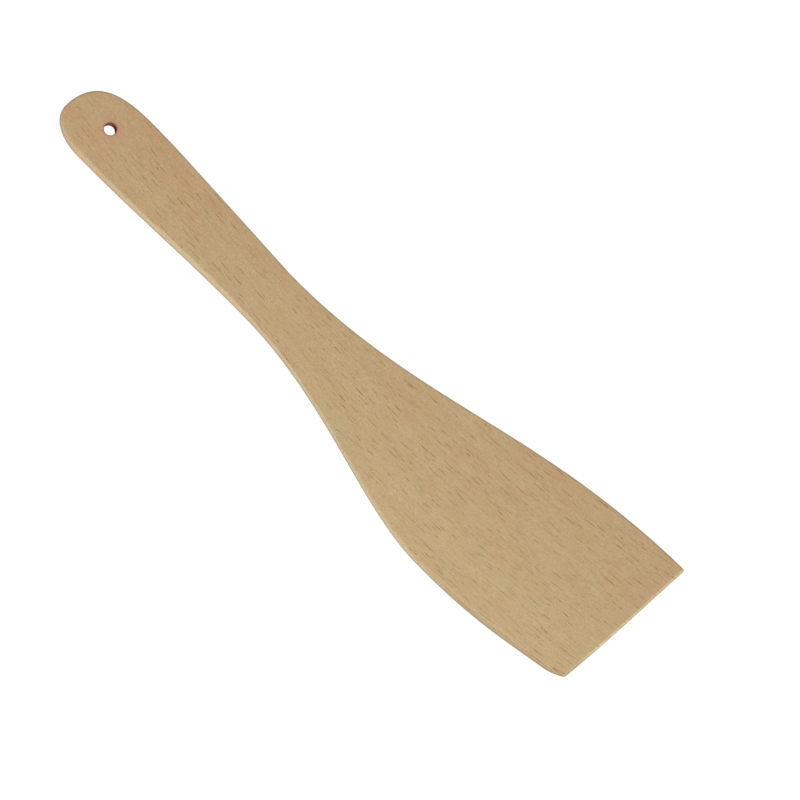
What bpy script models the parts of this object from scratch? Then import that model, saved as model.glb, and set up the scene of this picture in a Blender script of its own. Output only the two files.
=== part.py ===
"""A wooden spatula, made from one flat beech board.

The board is sawn to its outline, planed thinner towards the working edge, drilled for
hanging and sanded round along every edge. All sizes are in metres.

It is drawn lying on its flat underside. X runs from the rounded end of the grip to the
working edge, Y is zero on the grip's middle line and Z is up. The near side is the one at
-Y, whose working corner is clipped, and the far side is the one at +Y. At the end the board
is moved so that the middle of its underside lies at the origin.
"""

import math

import bmesh
import bpy
from mathutils import Vector
from mathutils.geometry import interpolate_bezier

# Lengths along the board
LENGTH = 0.300
NECK_FROM_END = 0.1083
BELLY_FROM_TIP = 0.0762
END_ROUND_FAR = 0.0400
END_ROUND_NEAR = 0.0170

# Widths across the board, the reaches from the grip's middle line
GRIP_WIDTH = 0.0296
NECK_WIDTH = 0.0243
FAR_REACH = 0.0432
NEAR_REACH = 0.0320
END_APEX_OFFSET = 0.0050

# The working edge and its two corners
EDGE_SLANT = 0.0037
FAR_CORNER_ROUND = 0.0013
CLIP_LENGTH = 0.0133
CLIP_START_DRAW_IN = 0.0069
CLIP_WIDTH = 0.0038

# Thickness of the board
BOARD_THICKNESS = 0.0060
TIP_THICKNESS = 0.0024
TAPER_FROM_END = 0.070

# The hanging hole
HOLE_DIAMETER = 0.0050
HOLE_FROM_END = 0.0188
HOLE_OFFSET = 0.0010

# Sanded rounds
EDGE_ROUND = 0.0013
UNDER_ROUND = 0.0005
BELLY_ROUND = 0.0017
HOLE_ROUND = 0.0002

# How far a cutter runs past what it cuts, and how near two points are when welded
OVERRUN = 0.005
WELD = 0.000005

# A round takes at most this much of the thickness that it is cut in
ROUND_SHARE = 0.34
BELLY_ROUND_SHARE = 0.55

# Places of a curve's two handles in the box between the curve's ends
END_FAR_SHARES = ((0, 1.11), (0.56, 1))
GRIP_FAR_SHARES = ((0.07, 0), (0.98, 1))
BLADE_FAR_SHARES = ((0.37, 0), (0.58, 0.92))
CORNER_SHARES = ((0.55, 0), (1, 0.45))
EDGE_SHARES = ((0.31, 0.33), (0.42, 0.67))
CLIP_SHARES = ((0.24, 0.4), (0.57, 0.82))
BELLY_SHARES = ((0.26, 0.4), (0.5, 1))
BLADE_NEAR_SHARES = ((0.275, 0), (0.6, 1))
GRIP_NEAR_SHARES = ((0.38, 0), (0.63, 1))
END_NEAR_SHARES = ((0.6, 0), (1, 0.5))
TAPER_SHARES = ((0.33, 0), (0.75, 0.66))

# Straight steps in each curve
END_FAR_STEPS = 16
GRIP_STEPS = 9
BLADE_FAR_STEPS = 28
CORNER_STEPS = 4
EDGE_STEPS = 4
CLIP_STEPS = 6
BELLY_STEPS = 11
BLADE_NEAR_STEPS = 20
END_NEAR_STEPS = 12
TAPER_STEPS = 12
HOLE_SIDES = 32
ROUND_SEGMENTS = 4

# Planed beech
BEECH_COLOUR = (0.515, 0.362, 0.199, 1.0)
BEECH_ROUGHNESS = 0.62
BEECH_METALLIC = 0.0

# An edge between a broad face and a side face is a rim; the slope tells the two apart
FLAT_SLOPE = math.cos(math.radians(30))
SIDE_SLOPE = math.cos(math.radians(60))


def clear_scene():
    """Empty the scene, so that only the spatula is in it."""
    for item in list(bpy.data.objects):
        bpy.data.objects.remove(item, do_unlink=True)


def make_collection(name):
    """A new collection in the scene."""
    collection = bpy.data.collections.new(name)
    bpy.context.scene.collection.children.link(collection)
    return collection


def make_beech():
    """Pale, slightly pink hardwood, planed and sanded but not varnished."""
    beech = bpy.data.materials.new("beech")
    beech.use_nodes = True
    shader = beech.node_tree.nodes["Principled BSDF"]
    shader.inputs["Base Color"].default_value = BEECH_COLOUR
    shader.inputs["Roughness"].default_value = BEECH_ROUGHNESS
    shader.inputs["Metallic"].default_value = BEECH_METALLIC
    return beech


def handle_place(start, end, shares):
    """The point that lies at two shares of the box between start and end."""
    across, up = shares
    return Vector((start.x + across * (end.x - start.x), start.y + up * (end.y - start.y), 0))


def curve_points(start, end, handle_shares, steps):
    """Points along one Bezier stretch, without its last one, which the next stretch starts at."""
    start, end = Vector((*start, 0)), Vector((*end, 0))
    first = handle_place(start, end, handle_shares[0])
    second = handle_place(start, end, handle_shares[1])
    return interpolate_bezier(start, first, second, end, steps + 1)[:-1]


def plan_outline():
    """The board seen from above, from the end of the grip along its far side and back."""
    half_grip, half_neck = GRIP_WIDTH / 2, NECK_WIDTH / 2
    end_apex = (0, -END_APEX_OFFSET)
    grip_far = (END_ROUND_FAR, half_grip)
    neck_far = (NECK_FROM_END, half_neck)
    corner_far = (LENGTH - FAR_CORNER_ROUND, FAR_REACH)
    edge_far = (LENGTH, FAR_REACH - FAR_CORNER_ROUND)
    clip_start_y = CLIP_START_DRAW_IN - NEAR_REACH
    edge_near = (LENGTH - EDGE_SLANT, clip_start_y + CLIP_WIDTH)
    clip_start = (LENGTH - CLIP_LENGTH, clip_start_y)
    belly = (LENGTH - BELLY_FROM_TIP, -NEAR_REACH)
    neck_near = (NECK_FROM_END, -half_neck)
    grip_near = (END_ROUND_NEAR, -half_grip)
    stretches = (
        (end_apex, grip_far, END_FAR_SHARES, END_FAR_STEPS),
        (grip_far, neck_far, GRIP_FAR_SHARES, GRIP_STEPS),
        (neck_far, corner_far, BLADE_FAR_SHARES, BLADE_FAR_STEPS),
        (corner_far, edge_far, CORNER_SHARES, CORNER_STEPS),
        (edge_far, edge_near, EDGE_SHARES, EDGE_STEPS),
        (edge_near, clip_start, CLIP_SHARES, CLIP_STEPS),
        (clip_start, belly, BELLY_SHARES, BELLY_STEPS),
        (belly, neck_near, BLADE_NEAR_SHARES, BLADE_NEAR_STEPS),
        (neck_near, grip_near, GRIP_NEAR_SHARES, GRIP_STEPS),
        (grip_near, end_apex, END_NEAR_SHARES, END_NEAR_STEPS),
    )
    points = []
    for start, end, shares, steps in stretches:
        points += curve_points(start, end, shares, steps)
    return points


def side_outline():
    """The board seen from its near side: flat below, and planed down to the working edge above."""
    taper = curve_points(
        (TAPER_FROM_END, BOARD_THICKNESS), (LENGTH, TIP_THICKNESS), TAPER_SHARES, TAPER_STEPS
    )
    return [
        Vector((-OVERRUN, 0, 0)),
        Vector((-OVERRUN, BOARD_THICKNESS, 0)),
        *taper,
        Vector((LENGTH, TIP_THICKNESS, 0)),
        Vector((LENGTH + OVERRUN, TIP_THICKNESS, 0)),
        Vector((LENGTH + OVERRUN, 0, 0)),
    ]


def extrude_outline(name, points, half_depth, collection):
    """A closed solid: the outline filled, and as deep on each side as half_depth."""
    curve = bpy.data.curves.new(name, "CURVE")
    curve.dimensions = "2D"
    curve.fill_mode = "BOTH"
    curve.extrude = half_depth
    spline = curve.splines.new("POLY")
    spline.points.add(len(points) - 1)
    for point, place in zip(spline.points, points):
        point.co = (*place, 1)
    spline.use_cyclic_u = True
    drawn = bpy.data.objects.new(name, curve)
    collection.objects.link(drawn)
    return drawn


def made_mesh(drawn, collection):
    """Turn an object, as it looks now, into a plain mesh with its loose caps welded on."""
    depsgraph = bpy.context.evaluated_depsgraph_get()
    mesh = bpy.data.meshes.new_from_object(drawn.evaluated_get(depsgraph))
    shape = bmesh.new()
    shape.from_mesh(mesh)
    bmesh.ops.remove_doubles(shape, verts=shape.verts, dist=WELD)
    bmesh.ops.recalc_face_normals(shape, faces=shape.faces)
    shape.to_mesh(mesh)
    shape.free()
    name = drawn.name
    place = drawn.matrix_world.copy()
    bpy.data.objects.remove(drawn, do_unlink=True)
    solid = bpy.data.objects.new(name, mesh)
    solid.matrix_world = place
    collection.objects.link(solid)
    return solid


def cut(solid, operation, cutter):
    """Cut the solid with one cutter, which stays in the file as a hidden guide."""
    boolean = solid.modifiers.new(cutter.name, "BOOLEAN")
    boolean.operation = operation
    boolean.solver = "EXACT"
    boolean.object = cutter
    cutter.display_type = "WIRE"
    cutter.hide_render = True


def make_blank(parts, cutters):
    """The sawn and planed board: its outline from above, kept only inside its side profile."""
    half_board = BOARD_THICKNESS / 2
    blank = extrude_outline("spatula", plan_outline(), half_board + OVERRUN, parts)
    blank.location.z = half_board
    profile = extrude_outline("side_profile", side_outline(), FAR_REACH + NEAR_REACH, cutters)
    profile.rotation_euler.x = math.radians(90)
    bpy.context.view_layer.update()
    blank = made_mesh(blank, parts)
    cut(blank, "INTERSECT", made_mesh(profile, cutters))
    bpy.context.view_layer.update()
    return made_mesh(blank, parts)


def thickness_at(x):
    """Thickness of the board at a distance from the end of the grip."""
    outline = side_outline()
    for before, after in zip(outline, outline[1:]):
        if before.x <= x <= after.x and after.x > before.x:
            return before.y + (after.y - before.y) * (x - before.x) / (after.x - before.x)
    return TIP_THICKNESS


def belly_share(x):
    """None at the neck, all of it from the belly to the clipped corner, none at the tip."""
    belly = LENGTH - BELLY_FROM_TIP
    rise = (x - NECK_FROM_END) / (belly - NECK_FROM_END)
    fall = (LENGTH - x) / CLIP_LENGTH
    share = min(max(min(rise, fall), 0), 1)
    return share * share * (3 - 2 * share)


def round_width(x, on_top, on_near_side):
    """How wide the sanded round is at a distance along one rim of the board."""
    thickness = thickness_at(x)
    plain = min(EDGE_ROUND if on_top else UNDER_ROUND, ROUND_SHARE * thickness)
    if on_top and on_near_side:
        wide = min(BELLY_ROUND, BELLY_ROUND_SHARE * thickness)
        return plain + (max(wide, plain) - plain) * belly_share(x)
    return plain


def mark_rims(mesh):
    """Give each rim edge its share of the widest round, and return the widest."""
    shape = bmesh.new()
    shape.from_mesh(mesh)
    weights = shape.edges.layers.float.new("bevel_weight_edge")
    widest = max(EDGE_ROUND, BELLY_ROUND)
    for edge in shape.edges:
        side, broad = sorted(edge.link_faces, key=lambda face: abs(face.normal.z))
        if abs(side.normal.z) < SIDE_SLOPE and abs(broad.normal.z) > FLAT_SLOPE:
            x = (edge.verts[0].co.x + edge.verts[1].co.x) / 2
            edge[weights] = round_width(x, broad.normal.z > 0, side.normal.y < 0) / widest
    shape.to_mesh(mesh)
    shape.free()
    return widest


def round_edges(board):
    """Sand every rim round, wider along the near side of the blade."""
    bevel = board.modifiers.new("sanded_rounds", "BEVEL")
    bevel.limit_method = "WEIGHT"
    bevel.width = mark_rims(board.data)
    bevel.segments = ROUND_SEGMENTS
    bevel.use_clamp_overlap = False


def drill_profile():
    """Half of the hole's section, from its top to its bottom, flaring where it meets a face."""
    mouth = HOLE_DIAMETER / 2 + HOLE_ROUND
    face = thickness_at(HOLE_FROM_END)
    quarter = [math.radians(90) * step / ROUND_SEGMENTS for step in range(ROUND_SEGMENTS + 1)]
    flare = [
        (mouth - HOLE_ROUND * math.sin(angle), HOLE_ROUND * (1 - math.cos(angle)))
        for angle in quarter
    ]
    upper = [(x, face - depth) for x, depth in flare]
    lower = [(x, depth) for x, depth in reversed(flare)]
    top, bottom = face + OVERRUN, -OVERRUN
    return [(0, top), (mouth, top), *upper, *lower, (mouth, bottom), (0, bottom)]


def drill_hole(board, cutters):
    """The hanging hole, turned about its own axis and cut through the end of the grip."""
    places = [(x, 0, z) for x, z in drill_profile()]
    steps = [(place, place + 1) for place in range(len(places) - 1)]
    mesh = bpy.data.meshes.new("hanging_hole")
    mesh.from_pydata(places, steps, [])
    drill = bpy.data.objects.new("hanging_hole", mesh)
    drill.location = (HOLE_FROM_END, HOLE_OFFSET, 0)
    cutters.objects.link(drill)
    turn = drill.modifiers.new("turn", "SCREW")
    turn.steps = turn.render_steps = HOLE_SIDES
    turn.use_merge_vertices = True
    turn.merge_threshold = WELD
    cut(board, "DIFFERENCE", drill)


def make_spatula(parts, cutters):
    """Saw, plane, round and drill the board."""
    spatula = make_blank(parts, cutters)
    round_edges(spatula)
    drill_hole(spatula, cutters)
    spatula.data.materials.clear()
    spatula.data.materials.append(make_beech())
    spatula.data.shade_smooth()
    spatula.modifiers.new("even_shading", "WEIGHTED_NORMAL")
    return spatula


def stand_at_origin(spatula, cutters):
    """Move the board, and the guides with it, so that its underside's middle is the origin."""
    bpy.context.view_layer.update()
    depsgraph = bpy.context.evaluated_depsgraph_get()
    finished = spatula.evaluated_get(depsgraph).data
    places = [spatula.matrix_world @ vertex.co for vertex in finished.vertices]
    low = Vector([min(place[axis] for place in places) for axis in range(3)])
    high = Vector([max(place[axis] for place in places) for axis in range(3)])
    shift = Vector(((low.x + high.x) / 2, (low.y + high.y) / 2, low.z))
    for item in (spatula, *cutters.objects):
        item.location -= shift


def main():
    clear_scene()
    parts = make_collection("wooden_spatula")
    cutters = make_collection("cutters")
    spatula = make_spatula(parts, cutters)
    stand_at_origin(spatula, cutters)


main()
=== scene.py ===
"""Wooden Spatula: builds a flat beech spatula in full detail and the small studio it lies in.

The spatula lies on its flat underside. X runs from the rounded end of the grip to the working
edge, Y from the near side, whose working corner is clipped, to the far side, and Z up. Sizes
are in metres, apart from the figure of the beech, which is laid out in millimetres. The fine
board that is built here stands for the plain solid in the frame.
"""

import math
from collections import namedtuple

import bpy
import numpy as np
from bpy.props import FloatProperty, FloatVectorProperty, IntProperty, PointerProperty
from mathutils import Matrix, Vector


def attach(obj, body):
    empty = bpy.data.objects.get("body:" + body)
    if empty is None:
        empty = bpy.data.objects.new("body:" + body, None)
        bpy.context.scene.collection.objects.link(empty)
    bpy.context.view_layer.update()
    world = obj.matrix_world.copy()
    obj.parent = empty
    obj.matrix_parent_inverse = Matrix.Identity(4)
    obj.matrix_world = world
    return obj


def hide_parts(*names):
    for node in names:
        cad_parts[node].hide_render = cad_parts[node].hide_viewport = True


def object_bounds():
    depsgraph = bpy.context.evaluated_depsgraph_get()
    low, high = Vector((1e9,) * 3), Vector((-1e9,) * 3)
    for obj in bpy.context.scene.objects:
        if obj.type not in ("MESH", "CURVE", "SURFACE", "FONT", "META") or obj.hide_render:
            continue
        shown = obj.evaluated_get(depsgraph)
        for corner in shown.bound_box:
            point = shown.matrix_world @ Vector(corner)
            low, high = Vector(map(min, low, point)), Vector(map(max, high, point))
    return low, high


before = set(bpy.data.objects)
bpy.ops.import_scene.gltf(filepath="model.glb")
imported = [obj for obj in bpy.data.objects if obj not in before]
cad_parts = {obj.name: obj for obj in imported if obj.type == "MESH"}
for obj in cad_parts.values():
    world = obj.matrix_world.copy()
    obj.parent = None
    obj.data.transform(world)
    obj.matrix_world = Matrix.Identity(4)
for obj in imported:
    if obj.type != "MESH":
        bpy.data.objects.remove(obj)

bl_info = {
    "name": "Wooden Spatula",
    "version": (1, 0, 0),
    "blender": (4, 5, 0),
    "location": "3D View > Sidebar > Spatula",
    "description": "Builds a flat beech spatula and the small studio that it lies in",
    "category": "Add Mesh",
}

SOLID = "spatula"
BODY = "root"
SOLID_LOW, SOLID_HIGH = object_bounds()
LENGTH = SOLID_HIGH.x - SOLID_LOW.x
THICKNESS = SOLID_HIGH.z - SOLID_LOW.z

MM = 0.001
WHITE = (1, 1, 1, 1)

# Places of a curve's two handles in the box between the curve's ends
END_FAR_SHARES = ((0, 1.11), (0.56, 1))
GRIP_FAR_SHARES = ((0.07, 0), (0.98, 1))
BLADE_FAR_SHARES = ((0.37, 0), (0.58, 0.92))
CORNER_SHARES = ((0.55, 0), (1, 0.45))
EDGE_SHARES = ((0.31, 0.33), (0.42, 0.67))
CLIP_SHARES = ((0.24, 0.4), (0.57, 0.82))
BELLY_SHARES = ((0.26, 0.4), (0.5, 1))
BLADE_NEAR_SHARES = ((0.275, 0), (0.6, 1))
GRIP_NEAR_SHARES = ((0.38, 0), (0.63, 1))
END_NEAR_SHARES = ((0.6, 0), (1, 0.5))
TAPER_SHARES = ((0.33, 0), (0.75, 0.66))

# Where along the two curves of the grip's end the corners of the face grid lie
END_FAR_SPLIT = 0.34
END_NEAR_SPLIT = 0.62

# How finely each curve is read before its points are spread evenly
FINE_STEPS = 400

# How much the points of the two long sides crowd together towards the working corners
CROWDING = 1.35

# Rows of points round the upper rim and round the lower one, and steps down the side between
UPPER_ROWS = 9
LOWER_ROWS = 8
SIDE_STEPS = 4

# How far the rim faces the near side where its round starts to widen and where it has done so
NEAR_FACING = (-0.2, 0.7)

# The most of the board's thickness that a plain round and the bevel take up
ROUND_SHARE = 0.34
BEVEL_SHARE = 0.4

# How steeply the blunting of the working edge sets in from each of its corners
BLUNTING_STEEPNESS = 12

# Length and share of each wave of the hand sanding, and what sets the waves apart
SANDING_WAVES = ((0.071, 0.5), (0.039, 0.3), (0.021, 0.2))
WAVE_SHIFT = 0.03
UPPER_SEED = 1
LOWER_SEED = 4

# Rows of points round each mouth of the hanging hole
MOUTH_ROWS = 7

# Room left between the floor and the underside
FLOOR_GAP = 0.1 * MM


class SPATULA_PG_board(bpy.types.PropertyGroup):
    """Sizes of the board."""

    neck_from_end: FloatProperty(
        name="Neck From End",
        description="Distance of the narrowest place from the end of the grip",
        default=0.1083, min=0.05, max=0.2, unit="LENGTH",
    )
    belly_from_tip: FloatProperty(
        name="Belly From Tip",
        description="Distance of the near side's widest place from the working edge",
        default=0.0762, min=0.03, max=0.12, unit="LENGTH",
    )
    end_round_far: FloatProperty(
        name="End Round, Far Side",
        description="Length over which the far side of the grip turns into its rounded end",
        default=0.0400, min=0.01, max=0.06, unit="LENGTH",
    )
    end_round_near: FloatProperty(
        name="End Round, Near Side",
        description="Length over which the near side of the grip turns into its rounded end",
        default=0.0170, min=0.01, max=0.06, unit="LENGTH",
    )
    end_apex_offset: FloatProperty(
        name="End Apex Offset",
        description="How far the end of the grip lies to the near side of the middle line",
        default=0.0050, min=0, max=0.01, unit="LENGTH",
    )
    grip_width: FloatProperty(
        name="Grip Width",
        description="Width of the grip",
        default=0.0296, min=0.015, max=0.05, unit="LENGTH",
    )
    neck_width: FloatProperty(
        name="Neck Width",
        description="Width of the board at the neck",
        default=0.0243, min=0.012, max=0.05, unit="LENGTH",
    )
    far_reach: FloatProperty(
        name="Far Reach",
        description="Reach of the blade from the grip's middle line to its far side",
        default=0.0432, min=0.02, max=0.06, unit="LENGTH",
    )
    near_reach: FloatProperty(
        name="Near Reach",
        description="Reach of the blade from the grip's middle line to its near side",
        default=0.0320, min=0.02, max=0.06, unit="LENGTH",
    )
    edge_slant: FloatProperty(
        name="Edge Slant",
        description="How far the working edge draws back from its far to its near corner",
        default=0.0037, min=0, max=0.02, unit="LENGTH",
    )
    far_corner_round: FloatProperty(
        name="Far Corner Round",
        description="Round of the working edge's far corner, seen from above",
        default=0.0009, min=0.0005, max=0.01, unit="LENGTH",
    )
    near_corner_round: FloatProperty(
        name="Near Corner Round",
        description="Length taken off each side of the clipped corner's point by its round",
        default=0.0008, min=0.0004, max=0.003, unit="LENGTH",
    )
    clip_length: FloatProperty(
        name="Clip Length",
        description="Length of the clipped corner, measured along the board",
        default=0.0133, min=0.005, max=0.03, unit="LENGTH",
    )
    clip_start_draw_in: FloatProperty(
        name="Clip Draw In",
        description="How far the near side has drawn in where the clipped corner starts",
        default=0.0069, min=0, max=0.02, unit="LENGTH",
    )
    clip_width: FloatProperty(
        name="Clip Width",
        description="Width of the clipped corner, measured across the board",
        default=0.0038, min=0.001, max=0.02, unit="LENGTH",
    )
    tip_thickness: FloatProperty(
        name="Tip Thickness",
        description="Thickness of the board at its working edge",
        default=0.0024, min=0.001, max=0.006, unit="LENGTH",
    )
    taper_from_end: FloatProperty(
        name="Taper From End",
        description="Distance from the end of the grip at which the planing down starts",
        default=0.070, min=0.02, max=0.2, unit="LENGTH",
    )
    hole_diameter: FloatProperty(
        name="Hole Diameter",
        description="Diameter of the hanging hole",
        default=0.0050, min=0.003, max=0.012, unit="LENGTH",
    )
    hole_from_end: FloatProperty(
        name="Hole From End",
        description="Distance of the hanging hole's middle from the end of the grip",
        default=0.0188, min=0.01, max=0.04, unit="LENGTH",
    )
    hole_offset: FloatProperty(
        name="Hole Offset",
        description="How far the hanging hole lies to the far side of the middle line",
        default=0.0010, min=-0.005, max=0.005, unit="LENGTH",
    )
    hole_round: FloatProperty(
        name="Hole Round",
        description="Round where the hanging hole meets the faces",
        default=0.00025, min=0.0001, max=0.001, unit="LENGTH",
    )
    edge_round: FloatProperty(
        name="Edge Round",
        description="Sanded round along the upper rim of the near side",
        default=0.0012, min=0.0002, max=0.003, unit="LENGTH",
    )
    far_round: FloatProperty(
        name="Far Round",
        description="Smaller sanded round along the upper rim of the far side",
        default=0.0009, min=0.0002, max=0.003, unit="LENGTH",
    )
    under_round: FloatProperty(
        name="Under Round",
        description="Smaller round along the lower rim of the board",
        default=0.0005, min=0.0002, max=0.003, unit="LENGTH",
    )
    lean_round: FloatProperty(
        name="Lean Round",
        description="Upper round on the near side past the neck, where it is narrowest",
        default=0.0006, min=0.0002, max=0.003, unit="LENGTH",
    )
    bevel_from_tip: FloatProperty(
        name="Bevel From Tip",
        description="Distance from the working edge at which the soft bevel starts",
        default=0.140, min=0.05, max=0.2, unit="LENGTH",
    )
    bevel_width: FloatProperty(
        name="Bevel Width",
        description="Width of the soft bevel above the near side of the blade at its widest",
        default=0.0036, min=0.0002, max=0.006, unit="LENGTH",
    )
    bevel_depth: FloatProperty(
        name="Bevel Depth",
        description="Depth of the soft bevel above the near side of the blade",
        default=0.0009, min=0.0002, max=0.003, unit="LENGTH",
    )
    tip_blunting: FloatProperty(
        name="Tip Blunting",
        description="How much wider the upper round is along the working edge",
        default=0.4, min=0, max=1, subtype="FACTOR",
    )
    sanding_wander: FloatProperty(
        name="Sanding Wander",
        description="How much the sanded rounds grow and shrink along the board",
        default=0.10, min=0, max=0.3, subtype="FACTOR",
    )
    steps_along: IntProperty(
        name="Steps Along",
        description="Faces along each long side of the board",
        default=300, min=40, max=800,
    )
    steps_across: IntProperty(
        name="Steps Across",
        description="Faces across each end of the board",
        default=44, min=8, max=120,
    )
    hole_sides: IntProperty(
        name="Hole Sides",
        description="Flat sides of the hanging hole",
        default=96, min=16, max=256,
    )


class SPATULA_PG_beech(bpy.types.PropertyGroup):
    """Colours, roughness and ring width of the beech."""

    pale: FloatVectorProperty(
        name="Pale Wood",
        description="Colour of the palest, most yellow wood",
        default=(0.556, 0.416, 0.220), size=3, min=0, max=1, subtype="COLOR",
    )
    ruddy: FloatVectorProperty(
        name="Ruddy Wood",
        description="Colour of the reddest wood",
        default=(0.548, 0.340, 0.174), size=3, min=0, max=1, subtype="COLOR",
    )
    late: FloatVectorProperty(
        name="Late Wood",
        description="Tint of the darker line that ends each year's growth",
        default=(0.90, 0.86, 0.82), size=3, min=0, max=1, subtype="COLOR",
    )
    fleck: FloatVectorProperty(
        name="Fleck",
        description="Tint of the short dark rays that are cut across by the faces",
        default=(0.36, 0.25, 0.0), size=3, min=0, max=1, subtype="COLOR",
    )
    # Partly the paler wood of fresh sanding and partly painted sheen: this tint also paints the
    # lamp's highlight on the rounded rims and along the working edge.
    sanded: FloatVectorProperty(
        name="Sanded Edge",
        description="Tint of the freshly rounded edges",
        default=(1.09, 1.18, 1.29), size=3, min=0, max=2, subtype="COLOR",
    )
    # Painted light: this paler strip paints the glow of the lamp's light along the working edge.
    strip: FloatVectorProperty(
        name="Edge Strip",
        description="Tint of the slightly paler strip along the working edge",
        default=(1.04, 1.03, 1.0), size=3, min=0, max=2, subtype="COLOR",
    )
    # Partly paler sanded wood and partly a painted highlight of the lamp on the working edge.
    cream: FloatVectorProperty(
        name="Cream Edge",
        description="Tint that turns the outermost part of that strip cream",
        default=(1.03, 1.08, 1.15), size=3, min=0, max=2, subtype="COLOR",
    )
    # Painted light: this tint lightens the edges turned away from the lamp, standing in for fill
    # light on them.
    away: FloatVectorProperty(
        name="Far Edge",
        description="Tint of the edges that face the far side or the end of the grip",
        default=(1.08, 1.13, 1.24), size=3, min=0, max=2, subtype="COLOR",
    )
    # Painted shade: this tint paints a contact shadow along the lower rim, next to the floor, and
    # shade on the round of the clipped corner.
    painted_shade: FloatVectorProperty(
        name="Worn Edge",
        description="Tint of the lower rim and of the clipped corner, which have darkened in use",
        default=(0.76, 0.745, 0.70), size=3, min=0, max=1, subtype="COLOR",
    )
    warmed: FloatVectorProperty(
        name="Warmed Wood",
        description="Colour of the wood that the drill has warmed round the hanging hole",
        default=(0.56, 0.235, 0.160), size=3, min=0, max=1, subtype="COLOR",
    )
    scorch: FloatVectorProperty(
        name="Scorch",
        description="Colour of the hanging hole's wall, which the drill has burnt",
        default=(0.285, 0.085, 0.036), size=3, min=0, max=1, subtype="COLOR",
    )
    roughness: FloatProperty(
        name="Roughness",
        description="Roughness of the sanded faces",
        default=0.50, min=0, max=1, subtype="FACTOR",
    )
    ring_width: FloatProperty(
        name="Ring Width",
        description="Width of one year's growth",
        default=0.0026, min=0.0005, max=0.01, unit="LENGTH",
    )


class SPATULA_PG_studio(bpy.types.PropertyGroup):
    """Floor, lamp, sky and camera."""

    floor_colour: FloatVectorProperty(
        name="Floor Colour",
        description="Colour of the floor",
        default=(0.90, 0.90, 0.90), size=3, min=0, max=1, subtype="COLOR",
    )
    floor_size: FloatProperty(
        name="Floor Size",
        description="Length of the floor's sides",
        default=8, min=1, max=50, unit="LENGTH",
    )
    floor_glow: FloatProperty(
        name="Floor Glow",
        description="Share of light that the floor gives by itself where the camera sees it",
        default=0.90, min=0, max=1, subtype="FACTOR",
    )
    glow_strength: FloatProperty(
        name="Glow Strength",
        description="Strength of the floor's own light, which makes it come out white",
        default=1.07, min=0, max=2,
    )
    key_power: FloatProperty(
        name="Key Power",
        description="Power of the large soft lamp on the near side",
        default=905, min=0, max=5000, unit="POWER",
    )
    key_width: FloatProperty(
        name="Key Width",
        description="Length of the lamp's sides",
        default=6, min=0.1, max=20, unit="LENGTH",
    )
    key_place: FloatVectorProperty(
        name="Key Place",
        description="Place of the lamp's middle",
        default=(4.55, -4.55, 7.66), size=3, unit="LENGTH", subtype="TRANSLATION",
    )
    sky_strength: FloatProperty(
        name="Sky Strength",
        description="Strength of the even light from all round",
        default=0.30, min=0, max=2,
    )
    camera_distance: FloatProperty(
        name="Camera Distance",
        description="Distance of the camera from the board",
        default=3.0, min=0.5, max=20, unit="LENGTH",
    )
    camera_elevation: FloatProperty(
        name="Camera Elevation",
        description="Height of the camera above the horizon, seen from the board",
        default=math.radians(76.5), min=0, max=math.radians(90), subtype="ANGLE",
    )
    camera_roll: FloatProperty(
        name="Camera Roll",
        description="How far the board is turned clockwise in the picture",
        default=math.radians(45.64), min=-math.pi, max=math.pi, subtype="ANGLE",
    )
    view_width: FloatProperty(
        name="View Width",
        description="Width that the picture takes in at the board",
        default=0.31361, min=0.05, max=5, unit="LENGTH",
    )
    view_right: FloatProperty(
        name="View Right",
        description="How far the picture's middle lies to the right of the board's middle",
        default=0.01935, min=-1, max=1, unit="LENGTH",
    )
    view_down: FloatProperty(
        name="View Down",
        description="How far the picture's middle lies below the board's middle",
        default=0.01436, min=-1, max=1, unit="LENGTH",
    )


# The board

def stretch(start, end, handle_shares, low=0.0, high=1.0):
    """Points along one Bezier stretch, between two of its parameters."""
    start, end = np.array(start, float), np.array(end, float)
    first, second = (start + (end - start) * np.array(place) for place in handle_shares)
    t = np.linspace(low, high, FINE_STEPS)[:, None]
    u = 1 - t
    return u**3 * start + 3 * u * u * t * first + 3 * u * t * t * second + t**3 * end


def beyond(points, corner, reach):
    """The points that lie further than reach from a corner."""
    return points[np.hypot(*(points - corner).T) > reach]


def corner_round(start, corner, end):
    """Points of the round that joins two stretches inside the corner where they would meet."""
    t = np.linspace(0, 1, FINE_STEPS)[:, None]
    return (1 - t)**2 * start + 2 * (1 - t) * t * np.array(corner) + t * t * end


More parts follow.
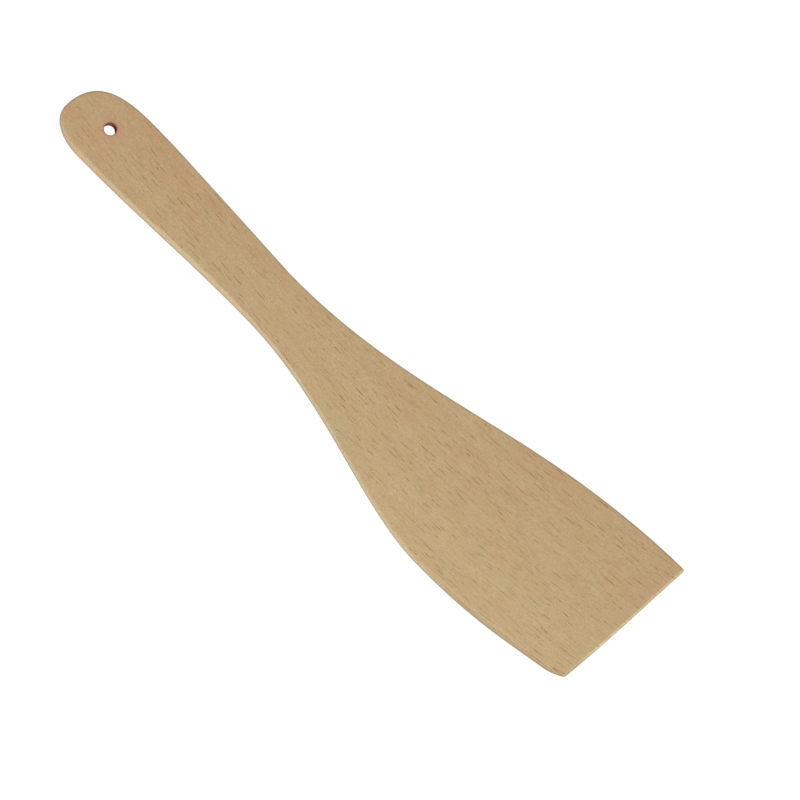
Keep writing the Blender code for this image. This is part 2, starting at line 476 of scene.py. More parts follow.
def board_sides(board):
    """The outline from above, as its far side, working edge, near side and rounded end."""
    half_grip, half_neck = board.grip_width / 2, board.neck_width / 2
    apex = (0, -board.end_apex_offset)
    grip_far = (board.end_round_far, half_grip)
    neck_far = (board.neck_from_end, half_neck)
    corner_far = (LENGTH - board.far_corner_round, board.far_reach)
    edge_far = (LENGTH, board.far_reach - board.far_corner_round)
    clip_start = (LENGTH - board.clip_length, board.clip_start_draw_in - board.near_reach)
    edge_near = (LENGTH - board.edge_slant, clip_start[1] + board.clip_width)
    belly = (LENGTH - board.belly_from_tip, -board.near_reach)
    neck_near = (board.neck_from_end, -half_neck)
    grip_near = (board.end_round_near, -half_grip)
    edge = beyond(stretch(edge_far, edge_near, EDGE_SHARES), edge_near, board.near_corner_round)
    clip = beyond(stretch(edge_near, clip_start, CLIP_SHARES), edge_near, board.near_corner_round)
    point = corner_round(edge[-1], edge_near, clip[0])
    middle = FINE_STEPS // 2
    far = (
        stretch(apex, grip_far, END_FAR_SHARES, low=END_FAR_SPLIT),
        stretch(grip_far, neck_far, GRIP_FAR_SHARES),
        stretch(neck_far, corner_far, BLADE_FAR_SHARES),
        stretch(corner_far, edge_far, CORNER_SHARES, high=0.5),
    )
    tip = (
        stretch(corner_far, edge_far, CORNER_SHARES, low=0.5),
        edge,
        point[:middle],
    )
    near = (
        point[middle - 1:],
        clip,
        stretch(clip_start, belly, BELLY_SHARES),
        stretch(belly, neck_near, BLADE_NEAR_SHARES),
        stretch(neck_near, grip_near, GRIP_NEAR_SHARES),
        stretch(grip_near, apex, END_NEAR_SHARES, high=END_NEAR_SPLIT),
    )
    end = (
        stretch(grip_near, apex, END_NEAR_SHARES, low=END_NEAR_SPLIT),
        stretch(apex, grip_far, END_FAR_SHARES, high=END_FAR_SPLIT),
    )
    return [np.concatenate(side) for side in (far, tip, near, end)]


def spread(points, shares):
    """Points at the given shares of a line's length."""
    run = np.hypot(*np.diff(points, axis=0).T)
    reached = np.concatenate(([0], np.cumsum(run)))
    wanted = shares * reached[-1]
    return np.stack([np.interp(wanted, reached, points[:, axis]) for axis in (0, 1)], 1)


def board_outline(board):
    """The outline as one closed row of points, crowded together towards the working corners."""
    far, tip, near, end = board_sides(board)
    along = np.linspace(0, 1, board.steps_along + 1)
    across = np.linspace(0, 1, board.steps_across + 1)
    crowded = 1 - (1 - along)**CROWDING
    both_ends = (1 - np.cos(np.pi * across)) / 2
    rows = (
        spread(far, crowded),
        spread(tip, both_ends),
        spread(near, 1 - crowded[::-1]),
        spread(end, across),
    )
    return np.concatenate([row[:-1] for row in rows])


def inward(outline):
    """The unit direction into the board at each point of its outline."""
    ahead = np.roll(outline, -1, 0) - outline
    behind = outline - np.roll(outline, 1, 0)
    ahead /= np.hypot(*ahead.T)[:, None]
    behind /= np.hypot(*behind.T)[:, None]
    run = ahead + behind
    run /= np.hypot(*run.T)[:, None]
    return np.stack([run[:, 1], -run[:, 0]], 1)


def thickness_at(board, x):
    """Thickness of the board at distances from the end of the grip."""
    start, end = (board.taper_from_end, THICKNESS), (LENGTH, board.tip_thickness)
    taper = stretch(start, end, TAPER_SHARES)
    return np.interp(x, taper[:, 0], taper[:, 1])


def rise(value, low, high):
    """An even rise from 0 to 1 as a value goes from low to high."""
    share = np.clip((value - low) / (high - low), 0, 1)
    return share * share * (3 - 2 * share)


def wander(x, seed):
    """A slow wave along the board, between about -1 and 1."""
    return sum(share * np.sin(2 * math.pi * x / step + seed * (1 + step / WAVE_SHIFT))
               for step, share in SANDING_WAVES)


def rounds(board, outline, into):
    """Width and depth of the sanded round above each point of the outline, and its size below."""
    x = outline[:, 0]
    thickness = thickness_at(board, x)
    nearness = rise(into[:, 1], *NEAR_FACING)
    plain = board.far_round + (board.edge_round - board.far_round) * nearness
    plain = np.minimum(plain, ROUND_SHARE * thickness)
    place = np.arange(len(x))
    near = place >= board.steps_along + board.steps_across
    bevel_start, clip_start = LENGTH - board.bevel_from_tip, LENGTH - board.clip_length
    fade = near * rise(x, LENGTH, LENGTH - 2 * board.clip_length)
    lean = fade * rise(x, board.taper_from_end, bevel_start)
    bevelled = fade * rise(x, bevel_start, clip_start)
    on_edge = np.clip((place - board.steps_along) / board.steps_across, 0, 1)
    blunt = 1 + board.tip_blunting * rise(BLUNTING_STEEPNESS * on_edge * (1 - on_edge), 0, 1)
    uneven = 1 + board.sanding_wander * wander(x, UPPER_SEED + near)
    round_here = plain + (board.lean_round - plain) * lean
    width = (round_here + (board.bevel_width - board.lean_round) * bevelled) * uneven * blunt
    depth = (round_here + (board.bevel_depth - board.lean_round) * bevelled) * uneven
    depth = np.minimum(depth, BEVEL_SHARE * thickness)
    below = board.under_round * (1 + board.sanding_wander * wander(x, LOWER_SEED + near))
    return width, depth, below


def rim_rows(board):
    """Closed rows of points round the rim: its upper round, its side and its lower round."""
    outline = board_outline(board)
    into = inward(outline)
    width, depth, below = rounds(board, outline, into)
    upper, lower = [], []
    for turn in np.linspace(0, math.pi / 2, UPPER_ROWS):
        place = outline + into * (width * (1 - math.sin(turn)))[:, None]
        height = thickness_at(board, place[:, 0]) - depth * (1 - math.cos(turn))
        upper.append(np.column_stack((place, height)))
    for turn in np.linspace(math.pi / 2, 0, LOWER_ROWS):
        place = outline + into * (below * (1 - math.sin(turn)))[:, None]
        lower.append(np.column_stack((place, below * (1 - math.cos(turn)))))
    drop = lower[0] - upper[-1]
    side = [upper[-1] + drop * step / SIDE_STEPS for step in range(1, SIDE_STEPS)]
    return upper + side + lower


def face_grid(rim, board):
    """Points of a broad face, spread between the four sides of its rim."""
    along, across = board.steps_along, board.steps_across
    half = along + across
    rim = np.concatenate((rim, rim[:1]))
    far, tip = rim[:along + 1], rim[along:half + 1]
    near, end = rim[half:half + along + 1][::-1], rim[half + along:][::-1]
    u = np.linspace(0, 1, along + 1)[:, None, None]
    v = np.linspace(0, 1, across + 1)[None, :, None]
    sides = (1 - v) * far[:, None] + v * near[:, None] + (1 - u) * end[None] + u * tip[None]
    corners = ((1 - u) * (1 - v) * far[0] + u * (1 - v) * far[-1]
               + (1 - u) * v * near[0] + u * v * near[-1])
    return (sides - corners).reshape(-1, 2)


def board_faces(board, row_count):
    """Faces down the rim, over the top and under the underside, in the order of the points."""
    shape = board.steps_along + 1, board.steps_across + 1
    grid = np.arange(math.prod(shape)).reshape(shape)
    rim = np.concatenate((grid[:-1, 0], grid[-1, :-1], grid[:0:-1, -1], grid[0, :0:-1]))
    between = [2 * grid.size + len(rim) * row + np.arange(len(rim))
               for row in range(row_count - 2)]
    rows = [rim] + between + [rim + grid.size]
    faces = [np.column_stack((row, np.roll(row, -1), np.roll(following, -1), following))
             for row, following in zip(rows, rows[1:])]
    corners = (grid[:-1, :-1], grid[:-1, 1:], grid[1:, 1:], grid[1:, :-1])
    top = np.stack([corner.ravel() for corner in corners], 1)
    underside = top[:, ::-1] + grid.size
    return np.concatenate(faces + [top, underside])


def grip_end(board):
    """The end of the grip's middle line, on the underside."""
    return SOLID_LOW.x, SOLID_HIGH.y - board.far_reach, SOLID_LOW.z


def board_mesh(board):
    """The whole board but for its hole: two broad faces, joined by the rows down its rim."""
    rows = rim_rows(board)
    top = face_grid(rows[0][:, :2], board)
    top = np.column_stack((top, thickness_at(board, top[:, 0])))
    underside = face_grid(rows[-1][:, :2], board)
    underside = np.column_stack((underside, np.zeros(len(underside))))
    points = np.concatenate([top, underside] + rows[1:-1]) + grip_end(board)
    mesh = bpy.data.meshes.new("board")
    mesh.from_pydata(points.tolist(), [], board_faces(board, len(rows)).tolist())
    mesh.validate()
    return mesh


def drill_mesh(board):
    """The hole as a closed turned shape, flared where it meets the two faces."""
    mouth = board.hole_diameter / 2 + board.hole_round
    flare = [(mouth - board.hole_round * math.sin(turn), board.hole_round * (1 - math.cos(turn)))
             for turn in np.linspace(0, math.pi / 2, MOUTH_ROWS)]
    profile = [(mouth, 2 * THICKNESS)] + [(x, THICKNESS - z) for x, z in flare]
    profile += flare[::-1] + [(mouth, -THICKNESS)]
    sides = board.hole_sides
    angles = [2 * math.pi * side / sides for side in range(sides)]
    points = [(x * math.cos(a), x * math.sin(a), z) for x, z in profile for a in angles]
    faces = []
    for row in range(0, len(points) - sides, sides):
        for side in range(sides):
            following = (side + 1) % sides
            faces.append((row + side, row + sides + side,
                          row + sides + following, row + following))
    faces.append(tuple(range(sides)))
    faces.append(tuple(reversed(range(len(points) - sides, len(points)))))
    mesh = bpy.data.meshes.new("drill")
    mesh.from_pydata(points, [], faces)
    return mesh


def hole_place(board):
    """The middle of the hanging hole, on the underside."""
    x, y, z = grip_end(board)
    return Vector((x + board.hole_from_end, y + board.hole_offset, z))


def drilled(solid, drill):
    """Cut the drill's shape out of the solid for good, and take the drill away."""
    cut = solid.modifiers.new("hole", "BOOLEAN")
    cut.operation = "DIFFERENCE"
    cut.solver = "EXACT"
    cut.object = drill
    depsgraph = bpy.context.evaluated_depsgraph_get()
    mesh = bpy.data.meshes.new_from_object(solid.evaluated_get(depsgraph))
    solid.modifiers.clear()
    solid.data = mesh
    bpy.data.objects.remove(drill, do_unlink=True)


# The figure of the beech, in millimetres

# A layer's size along the grain, across it and into the board, a seed that sets it apart from
# the others, and the detail and roughness of its noise
Layer = namedtuple("Layer", "along over into seed detail roughness")

YEAR_DRIFT = Layer(160, 11, 14, 5, 1, 0.5)
YEAR_PATCHES = Layer(120, 9, 12, 8, 1, 0.5)
CLOUDS = Layer(70, 9, 14, 1, 2, 0.55)
STREAKS = Layer(18, 2.6, 4, 6, 2, 0.5)
BLUSH = Layer(9, 3.4, 5, 9, 3, 0.6)
BLOTCHES = Layer(6.4, 4.6, 5, 15, 1, 0.5)
MOTTLE = Layer(3.6, 1, 1.6, 3, 2, 0.5)
FIBRES = Layer(9, 0.34, 0.6, 2, 3, 0.65)
PORES = Layer(0.8, 0.5, 0.8, 13, 1, 0.5)
RAY_BREAKS = Layer(1.5, 1.6, 4, 7, 1, 0.5)
RAY_CROWDS = Layer(26, 7, 9, 4, 1, 0.5)

# A kind of ray: length and width of its spindles, the gaps between their middles along the
# grain, across it and into the board, a seed, how unequal they are, and how strong
Rays = namedtuple("Rays", "length width gap_along gap_over gap_into seed unevenness strength")

BOLD_RAYS = Rays(8, 0.36, 7.6, 2, 6, 11, 1.8, 1)
HAIRLINE_RAYS = Rays(4.4, 0.24, 5.4, 1, 5, 23, 1.2, 0.34)

# How far a seed moves a layer or a kind of ray along the grain, across it and into the board
SEED_STEPS = (1, 1.7, 2.3)

# Slant of the rows in which the rays lie, and how far out of step the rays are
ROW_SLANT = 0.55
OUT_OF_STEP = 0.72

# The smallest ray and what the largest has over it, the faintest ray, and how fast the rays
# fade into the board
SMALLEST_RAY = 0.45
RAY_GROWTH = 0.9
FAINTEST_RAY = 0.15
FADE_INTO_BOARD = 0.5

# The grain's bow and its slant to the far side, and the size, reach and seed of its waver
GRAIN_BOW = 0.00042
GRAIN_SLANT = 0.0035
WAVER_ALONG = 45
WAVER_OVER = 30
WAVER_REACH = 3.5
WAVER_SEED = 3.1

# How far the pith of the tree lies to the near side and below, and how many years of growth
# the rings drift by
PITH_NEAR = 26
PITH_BELOW = 95
DRIFT_YEARS = 3

# How strongly the late wood's tint shows at the end of a year
LATE_SHARE = 0.22

# Redness of the wood: the same all over, from each layer, and for each millimetre of Y
EVEN_REDNESS = 0.40
CLOUD_REDNESS = 0.9
STREAK_REDNESS = 0.7
BLOTCH_REDNESS = 0.6
FAR_REDNESS = 0.0054

# Lightness of the wood: from each layer, with the blush in its blue alone, and for each
# millimetre of Y
FIBRE_TONE = 0.20
MOTTLE_TONE = 0.09
PORE_TONE = 0.45
BLUSH_TONE = 0.14
# The darkening towards the far side is partly the wood's tone and partly painted shade of the
# lamp's fall-off across the board
FAR_TONE_AND_SHADE = -0.0012

# Where a value's effect starts and where it is full, and what it goes from and to if not 0 and 1
LATE_START = (0.35, 0.93)
LATE_END = (0.93, 1, 1, 0)
YEAR_STRENGTHS = (0.35, 0.7, 0.05, 1)
SPINDLE_EDGE = (0.45, 1, 1, 0)
BREAK_STRENGTHS = (0.36, 0.48, 0.30, 1)
CROWD_STRENGTHS = (0.3, 0.7, 0.728, 1.12)
RAYS_ALONG = (-142, -95, 0.45, 1)
REDNESS_ALONG = (0, -150, 0, 0.30)
# The slight darkening towards the end of the grip is partly the wood's tone and partly painted
# shade of the lamp's fall-off
TONE_AND_SHADE_ALONG = (-75, -20, 0.985, 1)
SANDED_AND_SHEEN_ALONG = (-130, 20, 0.72, 1)
CORNER_ALONG = (60, 110)
CORNER_OVER = (-12, -21)
CONTACT_SHADOW_UP = (3.8, 0.5, 0, 0.9)

# The same for how upright a face is, and for how it faces the far side and the grip's end
RIM_FACING = (0.98, 0.70)
ROUND_FACING = (0.99, 0.965)
SIDE_FACING = (0.96, 0.82)
FAR_FILL_FACING = (0.05, 0.6)
END_FILL_FACING = (-0.05, -0.6)

# The same for the distance from the working edge
SANDED_AND_SHEEN_BAND = (1.12, 0.80, 0, 0.95)
PAINTED_GLOW_BAND = (3.4, 0.9)
CREAM_AND_HIGHLIGHT_BAND = (1.3, 0.9)

# The same for the distance from the hanging hole's wall, and for how streaks hold the warmth
WIDE_WARMTH = (0, 4.4, 0.38, 0)
CLOSE_WARMTH = (0, 1, 0.30, 0)
WARM_STREAKS = (0.35, 0.65, 0.5, 1)
BURNT_WALL = (0.05, 0.32, 1, 0)
BURNT_RING = (0.2, 0.8, 0.3, 0)

# Cubic, square and plain weights of the bow in which the working edge draws back
EDGE_BOW = (0.688, -0.628, 0.94)

# How much less the rays show on the rim
RAYS_LOST_ON_RIM = 0.8

# How much rougher each makes the surface, how high it stands, and how the scorch levels it
FIBRE_ROUGHNESS = 0.18
RAY_ROUGHNESS = 0.12
SCORCH_ROUGHNESS = 0.4
FIBRE_HEIGHT = 0.5
RAY_HEIGHT = -0.6
SCORCH_LEVELLING = 0.85
RELIEF = 0.03 * MM
RELIEF_STRENGTH = 0.5


class Graph:
    """The nodes of a material or the sky. Each call makes nodes and gives back their output."""

    def __init__(self, owner):
        owner.use_nodes = True
        self.tree = owner.node_tree
        self.tree.nodes.clear()

    def add(self, kind, inputs=None, **settings):
        """Make one node, join or fill its inputs, and give back the node itself."""
        node = self.tree.nodes.new(kind)
        for name, value in settings.items():
            setattr(node, name, value)
        for key, value in (inputs or {}).items():
            if isinstance(value, bpy.types.NodeSocket):
                self.tree.links.new(value, node.inputs[key])
            else:
                node.inputs[key].default_value = value
        return node

    def math(self, operation, *values, clamp=False):
        inputs = dict(enumerate(values))
        return self.add("ShaderNodeMath", inputs, operation=operation, use_clamp=clamp).outputs[0]

    def total(self, first, *others):
        for value in others:
            first = self.math("ADD", first, value)
        return first

    def product(self, first, *others):
        for value in others:
            first = self.math("MULTIPLY", first, value)
        return first

    def vector(self, operation, *values):
        inputs = dict(enumerate(values))
        return self.add("ShaderNodeVectorMath", inputs, operation=operation).outputs["Vector"]

    def length(self, vector):
        return self.add("ShaderNodeVectorMath", {0: vector}, operation="LENGTH").outputs["Value"]

    def combine(self, x, y, z):
        return self.add("ShaderNodeCombineXYZ", {0: x, 1: y, 2: z}).outputs[0]

    def split(self, vector):
        return self.add("ShaderNodeSeparateXYZ", {0: vector}).outputs[:3]

    def noise(self, vector, detail=2, roughness=0.5):
        inputs = {"Vector": vector, "Scale": 1, "Detail": detail, "Roughness": roughness}
        return self.add("ShaderNodeTexNoise", inputs).outputs["Fac"]

    def rise(self, value, low, high, to_low=0, to_high=1):
        inputs = {"Value": value, "From Min": low, "From Max": high,
                  "To Min": to_low, "To Max": to_high}
        return self.add("ShaderNodeMapRange", inputs, interpolation_type="SMOOTHSTEP").outputs[0]

    def mix(self, share, first, second, blend="MIX"):
        inputs = {0: share, 6: first, 7: second}
        node = self.add("ShaderNodeMix", inputs, data_type="RGBA", blend_type=blend)
        return node.outputs[2]

    def tint(self, share, wood, colour):
        return self.mix(share, wood, rgba(colour), blend="MULTIPLY")


def rgba(colour):
    """A colour with its full opacity."""
    return (*colour, 1)


def swing(g, value, reach):
    """A value between 0 and 1, turned into one that swings by a reach about 0."""
    return g.math("MULTIPLY", g.math("SUBTRACT", value, 0.5), reach)


# The beech

class Spot:
    """Where a point lies on the board and in its grain, in millimetres, and how it faces."""

    def __init__(self, g):
        coordinates = g.add("ShaderNodeTexCoord").outputs
        self.place = g.vector("MULTIPLY", coordinates["Object"], (1 / MM, 1 / MM, 1 / MM))
        self.x, self.y, self.z = g.split(self.place)
        self.facing_x, self.facing_y, facing_z = g.split(coordinates["Normal"])
        self.upright = g.math("ABSOLUTE", facing_z)
        self.rim = g.rise(self.upright, *RIM_FACING)

        # The grain falls towards the near side on the grip and rises again on the blade
        bend = g.product(self.x, g.math("MULTIPLY_ADD", self.x, GRAIN_BOW, GRAIN_SLANT))
        waver = g.noise(g.combine(g.product(self.x, 1 / WAVER_ALONG),
                                  g.product(self.y, 1 / WAVER_OVER), WAVER_SEED))
        straightened = g.math("SUBTRACT", self.y, bend)
        self.over = g.math("SUBTRACT", straightened, swing(g, waver, WAVER_REACH))
        self.grain = g.combine(self.x, self.over, self.z)


def in_units(g, place, sizes, seed):
    """A place in units of the given sizes, moved away by its seed."""
    units = g.vector("MULTIPLY", place, tuple(1 / size for size in sizes))
    return g.vector("ADD", units, tuple(seed * step for step in SEED_STEPS))


def figure(g, spot, layer):
    """The strength of one layer of the figure, between 0 and 1."""
    place = in_units(g, spot.grain, (layer.along, layer.over, layer.into), layer.seed)
    return g.noise(place, layer.detail, layer.roughness)


def late_wood(g, spot, beech):
    """The darker line that ends each year's growth, on rings round the pith."""
    from_pith = g.length(g.combine(
        0, g.math("ADD", spot.over, PITH_NEAR), g.math("ADD", spot.z, PITH_BELOW),
    ))
    years = g.total(
        g.product(from_pith, MM / beech.ring_width),
        g.product(figure(g, spot, YEAR_DRIFT), DRIFT_YEARS),
    )
    year = g.math("FRACT", years)
    strength = g.rise(figure(g, spot, YEAR_PATCHES), *YEAR_STRENGTHS)
    return g.product(g.rise(year, *LATE_START), g.rise(year, *LATE_END), strength)


def spindles(g, spot, rays):
    """One kind of ray: dark spindles along the grain, in slanting rows."""
    slant = ROW_SLANT * rays.gap_along / rays.gap_over
    leaning = g.vector("ADD", spot.grain, g.combine(g.product(spot.over, slant), 0, 0))
    cells = in_units(g, leaning, (rays.gap_along, rays.gap_over, rays.gap_into), rays.seed)
    nearest = g.add(
        "ShaderNodeTexVoronoi", {"Vector": cells, "Scale": 1, "Randomness": OUT_OF_STEP},
        voronoi_dimensions="3D", feature="F1",
    ).outputs
    off_along, off_over, off_into = g.split(g.vector("SUBTRACT", cells, nearest["Position"]))
    along = g.product(g.math("MULTIPLY_ADD", off_over, -ROW_SLANT, off_along), rays.gap_along)
    for_size, _, for_strength = g.split(nearest["Color"])
    size = g.math("MULTIPLY_ADD", for_size, RAY_GROWTH, SMALLEST_RAY)
    from_middle = g.length(g.combine(
        g.math("DIVIDE", along, g.product(size, rays.length / 2)),
        g.product(off_over, 2 * rays.gap_over / rays.width),
        g.product(off_into, FADE_INTO_BOARD),
    ))
    strength = g.math("MULTIPLY_ADD", for_strength, 1 - FAINTEST_RAY, FAINTEST_RAY)
    strength = g.math("POWER", strength, rays.unevenness)
    return g.product(g.rise(from_middle, *SPINDLE_EDGE), strength, rays.strength)


def ray_flecks(g, spot):
    """All the rays: broken here, crowded there, and fainter on the rim and the grip's end."""
    breaks = g.rise(figure(g, spot, RAY_BREAKS), *BREAK_STRENGTHS)
    bold = g.product(spindles(g, spot, BOLD_RAYS), breaks)
    flecks = g.math("MAXIMUM", bold, spindles(g, spot, HAIRLINE_RAYS))
    crowds = g.rise(figure(g, spot, RAY_CROWDS), *CROWD_STRENGTHS)
    flecks = g.math("MULTIPLY", flecks, crowds, clamp=True)
    kept_on_rim = g.math("MULTIPLY_ADD", spot.rim, -RAYS_LOST_ON_RIM, 1)
    return g.product(flecks, kept_on_rim, g.rise(spot.x, *RAYS_ALONG))


def planed_wood(g, spot, beech, streaks, fibres, flecks):
    """The wood of the broad faces, redder towards the far side and the end of the grip, and
    darker there, partly as painted shade.
    """
    redness = g.total(
        swing(g, figure(g, spot, CLOUDS), CLOUD_REDNESS),
        swing(g, streaks, STREAK_REDNESS),
        swing(g, figure(g, spot, BLOTCHES), BLOTCH_REDNESS),
        g.product(spot.y, FAR_REDNESS),
        g.rise(spot.x, *REDNESS_ALONG),
    )
    redness = g.math("ADD", redness, EVEN_REDNESS, clamp=True)
    wood = g.mix(redness, rgba(beech.pale), rgba(beech.ruddy))
    wood = g.tint(g.product(late_wood(g, spot, beech), LATE_SHARE), wood, beech.late)
    tone = g.total(
        swing(g, fibres, FIBRE_TONE),
        swing(g, figure(g, spot, MOTTLE), MOTTLE_TONE),
        swing(g, figure(g, spot, PORES), PORE_TONE),
        # These two terms darken the far side and the grip's end, partly as painted shade of the
        # lamp's fall-off
        g.product(spot.y, FAR_TONE_AND_SHADE),
        g.rise(spot.x, *TONE_AND_SHADE_ALONG),
    )
    blue_tone = g.math("ADD", tone, swing(g, figure(g, spot, BLUSH), BLUSH_TONE))
    wood = g.vector("MULTIPLY", wood, g.combine(tone, tone, blue_tone))
    return g.tint(flecks, wood, beech.fleck)


def distance_to_edge(g, spot, board):
    """Millimetres to the working edge, which draws back across the blade in a slight bow."""
    width = board.far_reach + board.near_reach - board.clip_start_draw_in - board.clip_width
    over = g.math("MULTIPLY_ADD", spot.y, -MM / width, SOLID_HIGH.y / width)
    cube, square, plain = EDGE_BOW
    bow = g.math("MULTIPLY_ADD", over, cube, square)
    bow = g.math("MULTIPLY_ADD", bow, over, plain)
    drawn_back = g.product(over, bow, board.edge_slant / MM)
    return g.math("SUBTRACT", SOLID_HIGH.x / MM, g.math("ADD", spot.x, drawn_back))


def rims_and_painted_light(g, spot, wood, beech, board):
    """The wood with sanded rims and a paler working edge, both partly painted sheen, with painted
    fill light and shade.
    """
    to_edge = distance_to_edge(g, spot, board)
    near_corner = g.product(g.rise(spot.x, *CORNER_ALONG), g.rise(spot.y, *CORNER_OVER))
    # Paler sanded rims and working edge, with a painted sheen of the lamp's light on the rounds
    rims = g.product(
        spot.rim, g.rise(spot.x, *SANDED_AND_SHEEN_ALONG), g.math("SUBTRACT", 1, near_corner),
    )
    sanded = g.math("MAXIMUM", rims, g.rise(to_edge, *SANDED_AND_SHEEN_BAND))
    wood = g.tint(sanded, wood, beech.sanded)
    # Painted glow of light in a strip along the working edge
    wood = g.tint(g.rise(to_edge, *PAINTED_GLOW_BAND), wood, beech.strip)
    # Cream outermost edge: partly paler sanded wood, partly painted highlight
    wood = g.tint(g.rise(to_edge, *CREAM_AND_HIGHLIGHT_BAND), wood, beech.cream)
    # Painted fill light on the edges that face the far side or the grip's end, away from the lamp
    away = g.math("MAXIMUM", g.rise(spot.facing_y, *FAR_FILL_FACING),
                  g.rise(spot.facing_x, *END_FILL_FACING))
    wood = g.tint(away, wood, beech.away)
    # Painted shade on the round of the clipped corner
    clipped = g.product(g.rise(spot.upright, *ROUND_FACING), near_corner)
    wood = g.tint(clipped, wood, beech.painted_shade)
    # Painted contact shadow along the lower rim, next to the floor
    lower = g.product(g.rise(spot.upright, *SIDE_FACING), g.rise(spot.z, *CONTACT_SHADOW_UP))
    return g.tint(lower, wood, beech.painted_shade)


def drilled_wood(g, spot, wood, beech, board, streaks):
    """The wood as the drill warmed and burnt it round the hanging hole, and the burnt share."""
    off = g.vector("SUBTRACT", spot.place, tuple(hole_place(board) / MM))
    from_middle = g.length(g.vector("MULTIPLY", off, (1, 1, 0)))
    from_wall = g.math("SUBTRACT", from_middle, board.hole_diameter / 2 / MM)
    warmth = g.math("ADD", g.rise(from_wall, *WIDE_WARMTH), g.rise(from_wall, *CLOSE_WARMTH))
    warmth = g.product(warmth, g.rise(streaks, *WARM_STREAKS))
    wood = g.mix(warmth, wood, rgba(beech.warmed))
    burnt = g.math("MAXIMUM", g.rise(from_wall, *BURNT_WALL), g.rise(from_wall, *BURNT_RING))
    return g.mix(burnt, wood, rgba(beech.scorch)), burnt


def make_beech(beech, board):
    """Planed, sanded and unvarnished beech, with its rings, rays and pores."""
    material = bpy.data.materials.new("beech")
    g = Graph(material)
    spot = Spot(g)
    streaks = figure(g, spot, STREAKS)
    fibres = figure(g, spot, FIBRES)
    flecks = ray_flecks(g, spot)
    wood = planed_wood(g, spot, beech, streaks, fibres, flecks)
    wood = rims_and_painted_light(g, spot, wood, beech, board)
    wood, burnt = drilled_wood(g, spot, wood, beech, board, streaks)
    roughness = g.total(
        swing(g, fibres, FIBRE_ROUGHNESS),
        g.product(flecks, RAY_ROUGHNESS),
        g.product(burnt, SCORCH_ROUGHNESS),
        beech.roughness,
    )
    height = g.math("ADD", g.product(flecks, RAY_HEIGHT), g.product(fibres, FIBRE_HEIGHT))
    height = g.product(height, g.math("MULTIPLY_ADD", burnt, -SCORCH_LEVELLING, 1))
    bump = g.add("ShaderNodeBump", {
        "Strength": RELIEF_STRENGTH, "Distance": RELIEF, "Height": height,
    })
    shader = g.add("ShaderNodeBsdfPrincipled", {
        "Base Color": wood, "Roughness": roughness, "Normal": bump.outputs[0],
    })
    g.add("ShaderNodeOutputMaterial", {"Surface": shader.outputs[0]})
    return material


# The studio

def floor_material(studio):
    """Pale floor that comes out white to the camera but keeps the spatula's shadow."""
    material = bpy.data.materials.new("pale_floor")
    g = Graph(material)
    matt = g.add("ShaderNodeBsdfDiffuse", {"Color": rgba(studio.floor_colour)})
    glow = g.add("ShaderNodeEmission", {"Color": WHITE, "Strength": studio.glow_strength})
    seen = g.add("ShaderNodeLightPath").outputs["Is Camera Ray"]
    both = g.add("ShaderNodeMixShader", {
        0: g.product(seen, studio.floor_glow), 1: matt.outputs[0], 2: glow.outputs[0],
    })
    g.add("ShaderNodeOutputMaterial", {"Surface": both.outputs[0]})
    return material


def make_floor(studio):
    """A wide flat floor just below the spatula."""
    half = studio.floor_size / 2
    mesh = bpy.data.meshes.new("floor")
    corners = [(-half, -half, 0), (half, -half, 0), (half, half, 0), (-half, half, 0)]
    mesh.from_pydata(corners, [], [(0, 1, 2, 3)])
    mesh.materials.append(floor_material(studio))
    floor = bpy.data.objects.new("floor", mesh)
    floor.location.z = SOLID_LOW.z - FLOOR_GAP
    bpy.context.scene.collection.objects.link(floor)


def make_sky(studio):
    """Even light from all round, which the camera sees as white."""
    world = bpy.data.worlds.new("sky")
    g = Graph(world)
    seen = g.add("ShaderNodeLightPath").outputs["Is Camera Ray"]
    strength = g.add("ShaderNodeMapRange", {
        "Value": seen, "To Min": studio.sky_strength, "To Max": 1,
    })
    light = g.add("ShaderNodeBackground", {"Color": WHITE, "Strength": strength.outputs[0]})
    g.add("ShaderNodeOutputWorld", {"Surface": light.outputs[0]})
    bpy.context.scene.world = world


def hang_lamp(studio):
    """A large square soft lamp on the near side, aimed at the board's middle."""
    light = bpy.data.lights.new("key", "AREA")
    light.energy = studio.key_power
    light.size = studio.key_width
    lamp = bpy.data.objects.new("key", light)
    lamp.location = studio.key_place
    lamp.rotation_euler = (-lamp.location).to_track_quat("-Z", "Y").to_euler()
    bpy.context.scene.collection.objects.link(lamp)


def make_camera(studio):
    """A long lens above the near side, turned so that the board crosses the picture."""
    low = Vector((1, 0, 0))
    high = Vector((0, math.sin(studio.camera_elevation), math.cos(studio.camera_elevation)))
    back = low.cross(high)
    cosine, sine = math.cos(studio.camera_roll), math.sin(studio.camera_roll)
    right = cosine * low + sine * high
    up = cosine * high - sine * low
    aim = right * studio.view_right - up * studio.view_down
    data = bpy.data.cameras.new("camera")
    data.lens = data.sensor_width * studio.camera_distance / studio.view_width
    camera = bpy.data.objects.new("camera", data)
    turn = Matrix((right, up, back)).transposed().to_4x4()
    camera.matrix_world = Matrix.Translation(aim + back * studio.camera_distance) @ turn
    bpy.context.scene.collection.objects.link(camera)
    bpy.context.scene.camera = camera


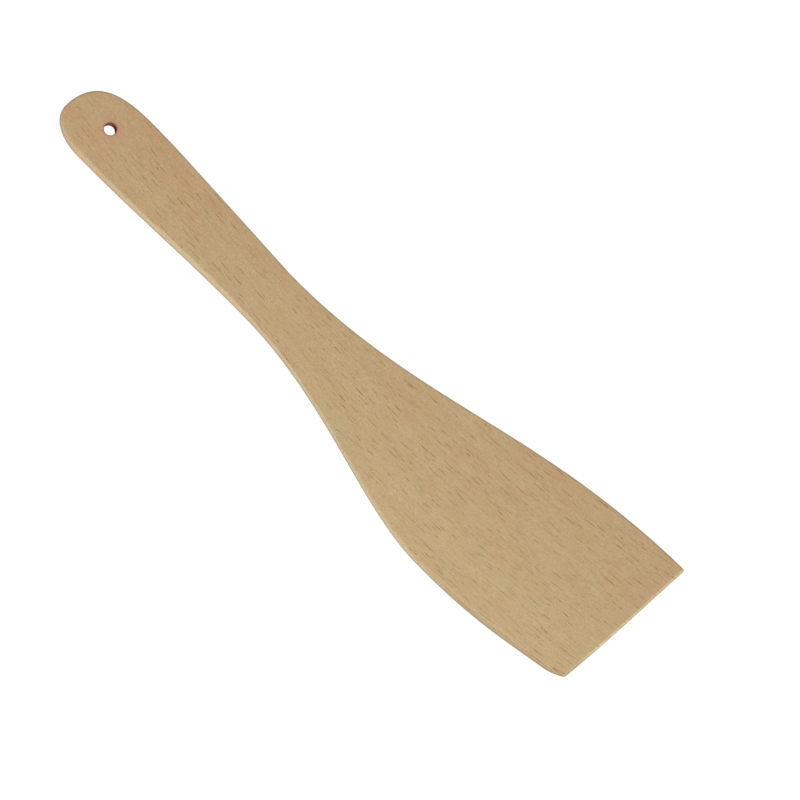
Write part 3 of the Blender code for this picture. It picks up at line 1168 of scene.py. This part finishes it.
class SPATULA_OT_make_board(bpy.types.Operator):
    """Build the wooden board with its rounded rims, its hanging hole and its beech"""

    bl_idname = "spatula.make_board"
    bl_label = "Make Board"

    def execute(self, context):
        board, beech = context.scene.spatula_board, context.scene.spatula_beech
        piece = bpy.data.objects.new("spatula_board", board_mesh(board))
        context.scene.collection.objects.link(piece)
        drill = bpy.data.objects.new("drill", drill_mesh(board))
        drill.location = hole_place(board)
        context.scene.collection.objects.link(drill)
        drilled(piece, drill)
        piece.data.materials.clear()
        piece.data.materials.append(make_beech(beech, board))
        piece.data.shade_smooth()
        piece.modifiers.new("even_shading", "WEIGHTED_NORMAL")
        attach(piece, BODY)
        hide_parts(SOLID)
        return {"FINISHED"}


class SPATULA_OT_set_studio(bpy.types.Operator):
    """Lay the pale floor, light the sky, hang the lamp and place the camera"""

    bl_idname = "spatula.set_studio"
    bl_label = "Set Studio"

    def execute(self, context):
        studio = context.scene.spatula_studio
        make_floor(studio)
        make_sky(studio)
        hang_lamp(studio)
        make_camera(studio)
        context.scene.view_settings.view_transform = "Standard"
        return {"FINISHED"}


class SPATULA_PT_sidebar(bpy.types.Panel):
    """Sizes, colours and the two steps of the spatula's scene"""

    bl_idname = "SPATULA_PT_sidebar"
    bl_label = "Wooden Spatula"
    bl_space_type = "VIEW_3D"
    bl_region_type = "UI"
    bl_category = "Spatula"

    def draw(self, context):
        scene = context.scene
        for label, group, operator in (
            ("Board", scene.spatula_board, "spatula.make_board"),
            ("Beech", scene.spatula_beech, None),
            ("Studio", scene.spatula_studio, "spatula.set_studio"),
        ):
            box = self.layout.box()
            box.label(text=label)
            for name in group.__annotations__:
                box.prop(group, name)
            if operator:
                box.operator(operator)


CLASSES = (
    SPATULA_PG_board,
    SPATULA_PG_beech,
    SPATULA_PG_studio,
    SPATULA_OT_make_board,
    SPATULA_OT_set_studio,
    SPATULA_PT_sidebar,
)


def register():
    for cls in CLASSES:
        bpy.utils.register_class(cls)
    bpy.types.Scene.spatula_board = PointerProperty(type=SPATULA_PG_board)
    bpy.types.Scene.spatula_beech = PointerProperty(type=SPATULA_PG_beech)
    bpy.types.Scene.spatula_studio = PointerProperty(type=SPATULA_PG_studio)


def unregister():
    del bpy.types.Scene.spatula_studio
    del bpy.types.Scene.spatula_beech
    del bpy.types.Scene.spatula_board
    for cls in reversed(CLASSES):
        bpy.utils.unregister_class(cls)


def main():
    register()
    bpy.ops.spatula.make_board()
    bpy.ops.spatula.set_studio()


if __name__ == "__main__":
    main()
